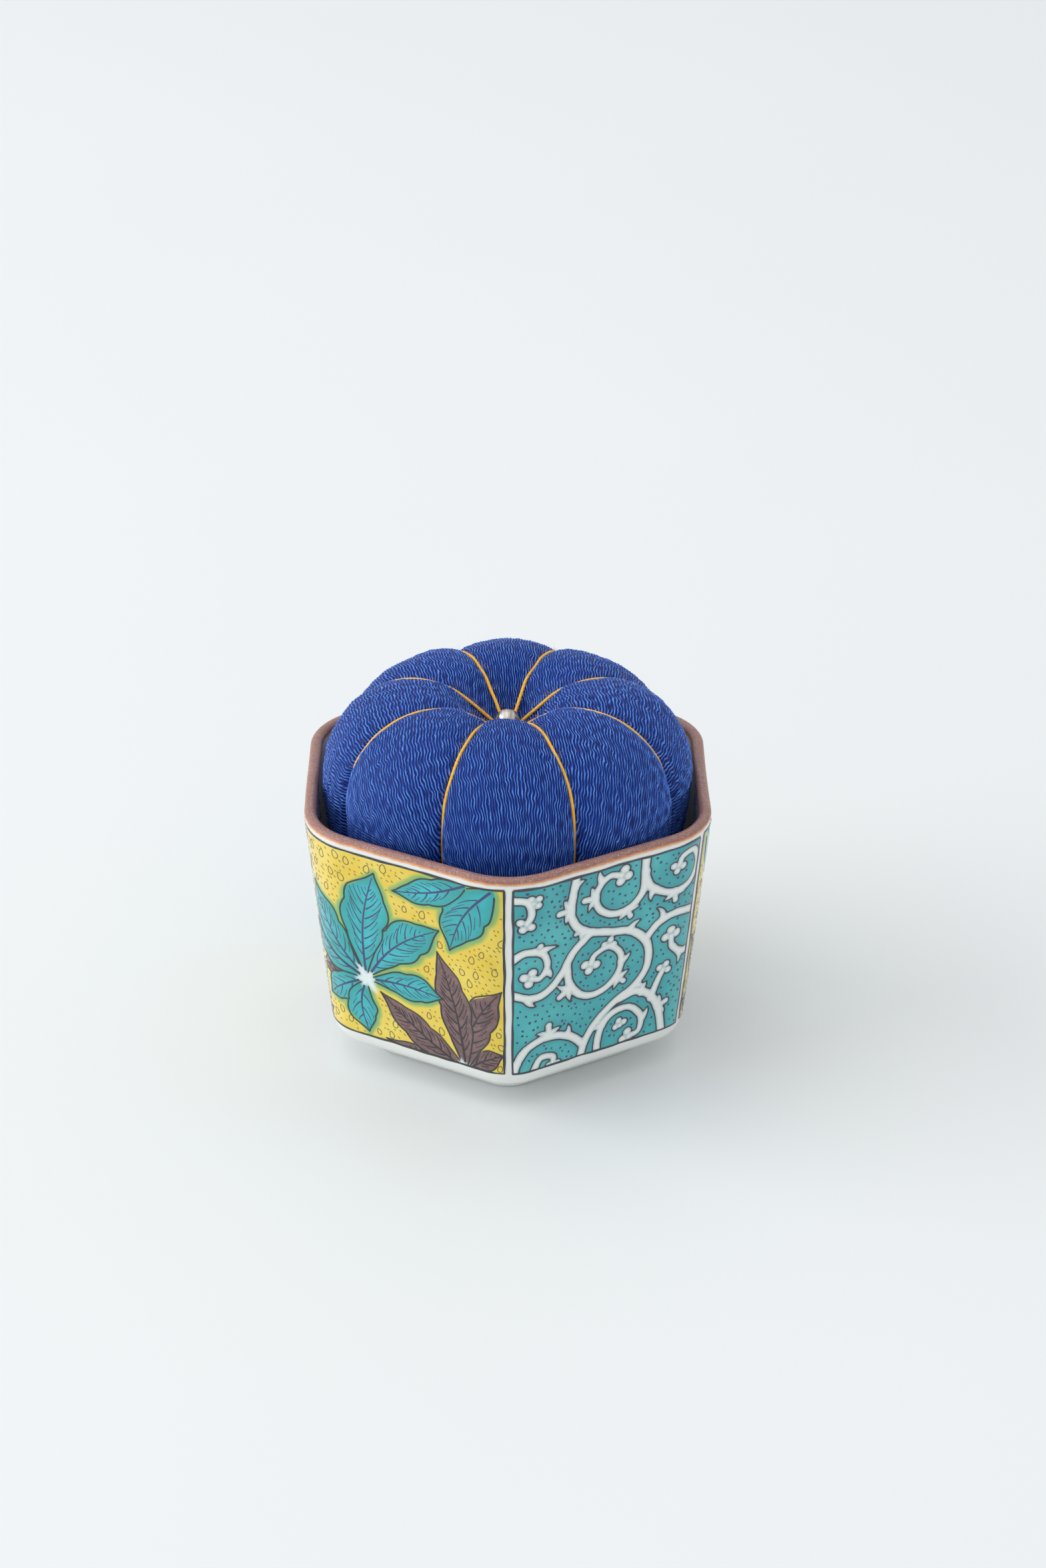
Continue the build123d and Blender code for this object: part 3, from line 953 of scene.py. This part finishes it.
def panel_sheet(name, panel, fields, material, relief):
    """The enamel of one panel: a fine sheet that carries distances to its painted shapes."""
    nx, ny = int(panel.width / PANEL_STEP) + 1, int(TALL / PANEL_STEP) + 1
    x, y = np.meshgrid(np.linspace(0, panel.width, nx), np.linspace(0, TALL, ny))
    values = {key: field(x, y) for key, field in fields.items()}
    border = np.minimum(np.minimum(x, panel.width - x), np.minimum(y, TALL - y))
    lift = (ENAMEL + relief(values)) * unit(border / PANEL_STEP) - 0.02 * (border < 1e-6)
    faces = grid_faces(ny, nx)[:, ::-1 if panel.mirrored else 1]
    ob = make_mesh(name, panel.at(x, y, lift).reshape(-1, 3), [faces], material, values)
    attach(ob, "cup")


def border_lines(strokes, panel):
    """A line of ink around a panel."""
    wander = waves(8, 2, 9, 61)
    for x0, y0, x1, y1 in ((0, 0, 1, 0), (1, 0, 1, 1), (1, 1, 0, 1), (0, 1, 0, 0)):
        t = np.linspace(0, 1, 60 * (panel.faces if x0 != x1 else 1))
        path = np.stack([(x0 + (x1 - x0) * t) * panel.width, (y0 + (y1 - y0) * t) * TALL], -1)
        shake = wander(path[:, 0] + 3 * x0, path[:, 1] + 5 * y0)
        path += 0.035 * np.stack([shake, shake], -1)
        strokes.line(path, 0.34 + 0.06 * wander(path[:, 1], path[:, 0] + 9))


def scatter(panel, spacing, seed, clear):
    """Uneven places all over a panel, kept where clear(x, y) says so."""
    rng = np.random.default_rng(seed)
    xs, ys = np.meshgrid(*(np.arange(spacing / 2, size, spacing) for size in (panel.width, TALL)))
    xs = xs + (np.arange(len(ys)) % 2)[:, None] * spacing / 2
    xs = (xs + rng.uniform(-0.3, 0.3, xs.shape) * spacing).ravel()
    ys = (ys + rng.uniform(-0.3, 0.3, ys.shape) * spacing).ravel()
    inside = (xs > 0.4) & (xs < panel.width - 0.4) & (ys > 0.4) & (ys < TALL - 0.4)
    keep = inside & clear(xs, ys)
    return xs[keep], ys[keep]


def ink_material(name, colour, other):
    n = Nodes(name)
    n.set(Base_Color=n.mix(n.noise(1500, 2), colour, other), Roughness=0.25, Coat_Weight=0.5,
          Coat_Roughness=0.06)
    return n.mat


def hand_drawn(n, field, amount):
    """A painted shape's distance with the slight unevenness of a brush line."""
    return n.math("ADD", n.attribute(field), n.shake(700, 2, amount))


def enamel_finish(n, colour):
    n.set(Base_Color=colour, Roughness=0.16, Coat_Weight=0.6, Coat_Roughness=0.05,
          Normal=n.bump(n.noise(420, 2), 0.12, 0.0002))


def scroll_material():
    n = Nodes("scroll_enamel")
    d = hand_drawn(n, "vine", 0.24)
    pool = n.span(n.noise(110, 3), 0.25, 0.8)
    sea = n.mix(pool, rgb(30, 156, 164), rgb(72, 188, 190))
    sea = n.mix(n.span(d, 0.15, 0.9, 0.35, 0.0), sea, rgb(40, 138, 150))
    glaze = n.mix(n.span(d, -0.55, -0.12), rgb(234, 238, 234), rgb(182, 202, 204))
    colour = n.mix(n.span(d, -0.03, 0.03, smooth=False), glaze, sea)
    outline = n.span(n.math("ABSOLUTE", d), 0.09, 0.16)
    enamel_finish(n, n.mix(outline, rgb(34, 42, 56), colour))
    return n.mat


def scroll_panel(number, panel):
    design = scroll_design()
    panel_sheet(f"scroll_panel_{number}", panel, {"vine": lambda x, y: melt(design, x, y)},
                scroll_material(), lambda f: 0.04 * unit(f["vine"] / 0.3))
    ink = ink_material("scroll_ink", rgb(30, 38, 50), rgb(50, 58, 72))
    lines = Strokes(panel, 70 + number)
    border_lines(lines, panel)
    lines.finish(f"scroll_lines_{number}", ink)
    dots = Strokes(panel, 80 + number)
    xs, ys = scatter(panel, 1.22, 90 + number, lambda x, y: melt(design, x, y) > 0.42)
    for x, y in zip(xs, ys):
        dots.dot(x, y, dots.rng.uniform(0.34, 0.54), 0.11)
    dots.finish(f"scroll_dots_{number}", ink_material("dots", rgb(40, 58, 92), rgb(56, 74, 108)))


class Leaf:
    """A leaf from its base to its tip, with a bend to one side and a greatest half-width."""

    def __init__(self, base, tip, half, bend=0.0, widest=1.3):
        self.base, self.tip = np.array(base, float), np.array(tip, float)
        self.half, self.bend, self.widest = half, bend, widest
        self.along = self.tip - self.base
        self.length = np.linalg.norm(self.along)

    def axis(self, t):
        t = np.asarray(t, float)[:, None]
        side = np.array([-self.along[1], self.along[0]])
        return self.base + self.along * t + side * self.bend * np.sin(math.pi * t)

    def width(self, t, side):
        t = unit(np.asarray(t, float))
        lobes = np.abs(np.sin(t * (3.0 + 0.42 * self.length) + side * 0.8 + self.length))
        teeth = 1 + 0.17 * (lobes - 0.62) * unit(t * 4 - 0.8) * unit((1 - t) * 9)
        point = unit((1 - t) / 0.22) ** 0.4
        return self.half * 1.04 * np.sin(math.pi * t ** self.widest) ** 0.85 * teeth * point

    def reach(self, x, y):
        """Distance to the leaf's edge, below 0 inside."""
        ux, uy = self.along / self.length
        t = ((x - self.base[0]) * ux + (y - self.base[1]) * uy) / self.length
        off = (y - self.base[1]) * ux - (x - self.base[0]) * uy
        off = off - self.bend * self.length * np.sin(math.pi * unit(t))
        beyond = np.maximum(np.maximum(-t, t - 1), 0) * self.length
        within = (np.abs(off) - self.width(t, np.sign(off))) * 0.85
        return np.where(beyond > 0, np.hypot(off, beyond), within)

    def edge(self, side):
        t = np.linspace(0.05, 1, int(self.length / PATH_STEP))
        path = self.axis(t)
        return path + side * side_of(path) * self.width(t, side)[:, None]

    def veins(self):
        """The midrib and the side veins: paths, each with its widths beside a full stroke's."""
        t = np.linspace(0.03, 0.95, 44)
        paths = [(self.axis(t), np.linspace(1.0, 0.35, 44))]
        heading = math.atan2(self.along[1], self.along[0])
        count = max(3, int(self.length / 2.5))
        for k in range(1, 2 * count):
            for side in (1, -1):
                at = 0.14 + 0.74 * (k + 0.4 * side) / (2 * count)
                start = self.axis([at])[0]
                far = self.width([min(at + 0.13, 1)], side)[0] * 1.22
                s = np.linspace(0, 1, 12)
                turn = np.radians(50 - 30 * s + 3 * math.sin(5 * k + self.length))
                path = start + bent(heading + side * turn, far)
                if k % 2:
                    paths.append((path, np.linspace(0.72, 0.24, 12)))
                else:
                    paths.append((path[4:], np.linspace(0.20, 0.34, 8)))
        return paths


def fan(base, *leaves):
    return [Leaf(base, *leaf) for leaf in leaves]


def leaf_design():
    """One panel's green leaves, the brown ones behind them, and the white hearts in front."""
    heart, root = (38.4, 10.6), (55.4, -1.0)
    other, low = (11.6, 18.5), (18.5, -1.0)
    green = [*fan(heart, ((41.6, 30.4), 3.7, 0.06, 1.4), ((51.8, 23.4), 3.1, 0.08, 1.4),
                  ((51.8, 11.0), 2.3, 0.05, 1.4), ((37.8, 0.8), 2.6, -0.12),
                  ((30.2, 5.2), 2.3, -0.05), ((29.0, 24.6), 3.0, 0.06, 1.4),
                  ((27.2, 17.2), 2.5, 0.04)),
             Leaf((56.6, 32.9), (44.4, 28.2), 2.2, 0.06, 0.95),
             Leaf((60.4, 32.8), (53.4, 20.4), 3.4, -0.08, 0.9),
             *fan(other, ((12.6, 31.6), 3.4, 0.06), ((22.4, 27.0), 3.0, -0.08),
                  ((24.2, 15.0), 2.6, 0.08), ((15.4, 5.8), 3.0, 0.06),
                  ((3.4, 8.6), 2.9, -0.08), ((1.4, 25.2), 3.1, 0.07))]
    brown = [*fan(root, ((51.2, 19.6), 2.6, -0.03, 1.1), ((40.6, 9.0), 2.4, 0.04, 1.0),
                  ((61.6, 15.0), 3.0, 0.10, 1.1), ((40.8, 0.6), 1.5, 0.04, 1.0),
                  ((61.9, 3.4), 1.7, 0.06)),
             Leaf((29.2, 10.0), (34.6, 11.2), 1.5, 0.02, 0.8),
             *fan(low, ((26.4, 11.8), 2.5, 0.06, 1.1), ((12.4, 9.4), 2.4, -0.06, 1.1),
                  ((5.2, 2.4), 1.8, 0.06), ((30.0, 2.2), 1.7, -0.05))]
    hearts = [Leaf((x, y), (x + r * reach * math.cos(a), y + r * reach * math.sin(a)), 0.56, 0, 0.5)
              for (x, y), r in ((heart, 2.5), (other, 2.4), (root, 2.0), (low, 2.0))
              for a, reach in ((2.1, 1.0), (0.9, 0.7), (3.3, 0.7), (-0.95, 0.95), (0.1, 0.55),
                               (-2.1, 0.6))]
    return green, brown, hearts


def nearest(leaves):
    """Distance to the nearest of some leaves, as a function of a place on the panel."""
    def field(x, y):
        best = np.full(np.shape(x), FAR)
        for leaf in leaves:
            best = np.minimum(best, leaf.reach(x, y))
        return best
    return field


def leaf_material():
    n = Nodes("leaf_enamel")
    green, brown = (hand_drawn(n, field, 0.20) for field in ("green", "brown"))
    white = n.attribute("white")
    ground = n.mix(n.span(n.noise(160, 3), 0.3, 0.75), rgb(228, 196, 44), rgb(238, 214, 88))
    bleed = n.math("ADD", n.span(green, 1.5, 0.05), n.shake(260, 2, 0.5))
    ground = n.mix(n.span(bleed, 0.25, 1.0), ground, rgb(128, 178, 96))
    earth = n.mix(n.span(n.noise(800, 3), 0.3, 0.7), rgb(98, 70, 74), rgb(128, 96, 94))
    colour = n.mix(n.span(brown, -0.05, 0.05), earth, ground)
    sea = n.mix(n.span(n.noise(140, 3), 0.3, 0.75), rgb(8, 158, 160), rgb(44, 190, 202))
    sea = n.mix(n.span(green, -1.6, -0.1, 0, 0.5), sea, rgb(8, 148, 140))
    colour = n.mix(n.span(green, -0.06, 0.06), sea, colour)
    colour = n.mix(n.span(white, 0.75, -0.35), colour, rgb(226, 238, 238))
    enamel_finish(n, colour)
    return n.mat


def leaf_panel(number, panel):
    green, brown, hearts = leaf_design()
    fields = {"green": nearest(green), "brown": nearest(brown), "white": nearest(hearts)}
    panel_sheet(f"leaf_panel_{number}", panel, fields, leaf_material(),
                lambda f: 0.03 * unit(-f["green"] / 0.4))
    lines, veins, earth, marks = (Strokes(panel, 100 + number * 10 + k) for k in range(4))
    border_lines(lines, panel)
    leaves = green + brown
    for i, leaf in enumerate(leaves):
        above = nearest(leaves[:i])
        seen = lambda p: (fields["white"](*p.T) > 0.1) & (above(*p.T) > 0.08)
        within = lambda p: seen(p) & (leaf.reach(*p.T) < -0.08)
        ink, edge_lift, lift, rib, vein = ((veins, 0.11, 0.10, 0.44, 0.35) if i < len(green)
                                           else (earth, 0.10, 0.09, 0.40, 0.40))
        for side in (1, -1):
            lines.line(leaf.edge(side), 0.23, edge_lift, seen)
        for k, (path, widths) in enumerate(leaf.veins()):
            ink.line(path, widths * (vein if k else rib), lift, within)
    clear = lambda x, y: (fields["green"](x, y) > 0.95) & (fields["brown"](x, y) > 0.4)
    xs, ys = scatter(panel, 2.7, 120 + number, clear)
    ring = np.linspace(0, 2 * math.pi, 15)
    for x, y in zip(xs, ys):
        size, tilt = marks.rng.uniform(0.42, 0.62), marks.rng.uniform(-0.5, 0.8)
        drop = size * (1 + 0.55 * unit(np.cos(ring)) ** 6)
        heading = ring + math.pi / 2 + tilt
        path = np.stack([x + drop * np.cos(heading) * 0.82, y + drop * np.sin(heading)], -1)
        marks.line(path, 0.14)
    near = np.stack([xs, ys], -1)
    for x, y in zip(*scatter(panel, 0.98, 130 + number, clear)):
        if len(near) and np.min(np.hypot(*(near - (x, y)).T)) < 0.85:
            continue
        tilt = marks.rng.uniform(-1.0, -0.4)
        half = marks.rng.uniform(0.14, 0.26)
        t = np.linspace(-half, half, 3)
        path = np.stack([x + t * math.cos(tilt), y + t * math.sin(tilt)], -1)
        marks.line(path, (0.10, 0.17, 0.08))
    for strokes, piece, ink, dark, light in (
            (lines, "lines", "leaf_ink", (18, 28, 34), (40, 48, 50)),
            (veins, "veins", "vein_ink", (34, 56, 112), (52, 62, 104)),
            (earth, "earth", "earth_ink", (30, 22, 28), (50, 36, 40)),
            (marks, "marks", "mark_ink", (98, 92, 44), (128, 116, 56))):
        strokes.finish(f"leaf_{piece}_{number}", ink_material(ink, rgb(*dark), rgb(*light)))


# ---- Hidden pieces

def plain_thing(name, low, high, scale, rough):
    """A plain, slightly fuzzy material, for wool, felt and card."""
    n = Nodes(name)
    n.set(Base_Color=n.mix(n.span(n.noise(scale, 4, 0.6), 0.3, 0.7), low, high), Roughness=rough,
          Sheen_Weight=0.2, Normal=n.bump(n.noise(scale * 1.5, 3), 0.5, 0.0002))
    return n.mat


def felt_disc():
    """The round of felt under the cushion: its cut edge is a little uneven and softly rounded."""
    felt = plain_thing("blue_felt", rgb(24, 34, 84), rgb(40, 52, 112), 1800, 0.95)
    around = 120
    theta = ring_angles(around)
    edge = waves(8, 3, 12, 55)(FELT_RADIUS * np.cos(theta), FELT_RADIUS * np.sin(theta)) * 0.10
    nap = waves(24, 0.9, 3.0, 56)
    inner = (0.4, 2, 4, 6, 8, 10)
    rim = [(-0.55, FELT_LOW), (-0.16, FELT_LOW + 0.2), (0, FELT_LOW + 0.5),
           (0, FELT_HIGH - 0.45), (-0.16, FELT_HIGH - 0.12), (-0.5, FELT_HIGH)]
    rows = []
    for r, z in [(r, FELT_LOW) for r in inner] + rim + [(r, FELT_HIGH) for r in inner[::-1]]:
        reach = r if r > 0.3 else FELT_RADIUS - 0.15 + r + edge
        x, y = reach * np.cos(theta), reach * np.sin(theta)
        height = z + 0.03 * np.abs(nap(x, y)) * (z == FELT_LOW)
        rows.append(np.stack([x, y, height], -1))
    ob = make_mesh("felt_round", np.concatenate(rows), tube_faces(len(rows), around), felt)
    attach(ob, "cushion")
    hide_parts("base_felt")


def dress_hidden_pieces(thread):
    card = plain_thing("grey_card", rgb(150, 130, 100), rgb(176, 156, 124), 900, 0.9)
    looks = {"base_card": card, "centre_stitch": thread,
             "anchor_knot": thread, "gathering_stitch": thread, "bead_stitch": thread}
    for node, material in looks.items():
        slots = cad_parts[node].data.materials
        slots.clear()
        slots.append(material)


add_camera()
add_lights()
add_floor()
cup_body()
crepe_lobes()
wool_stuffing()
golden = thread_material()
thread_path = dimpled(sunk(thread_line(0, [60, 60, 20, 4, 40, 12, 1, 12])), FURROW_DIMPLE)
for i in range(LOBES):
    thread_mesh(i, thread_path, golden)
thread_fuzz(thread_path, golden)
crown_bead()
felt_disc()
dress_hidden_pieces(golden)
scroll_panel(1, Panel(0, 1))
scroll_panel(2, Panel(3, 1))
leaf_panel(1, Panel(4, 2))
leaf_panel(2, Panel(1, 2, mirrored=True))
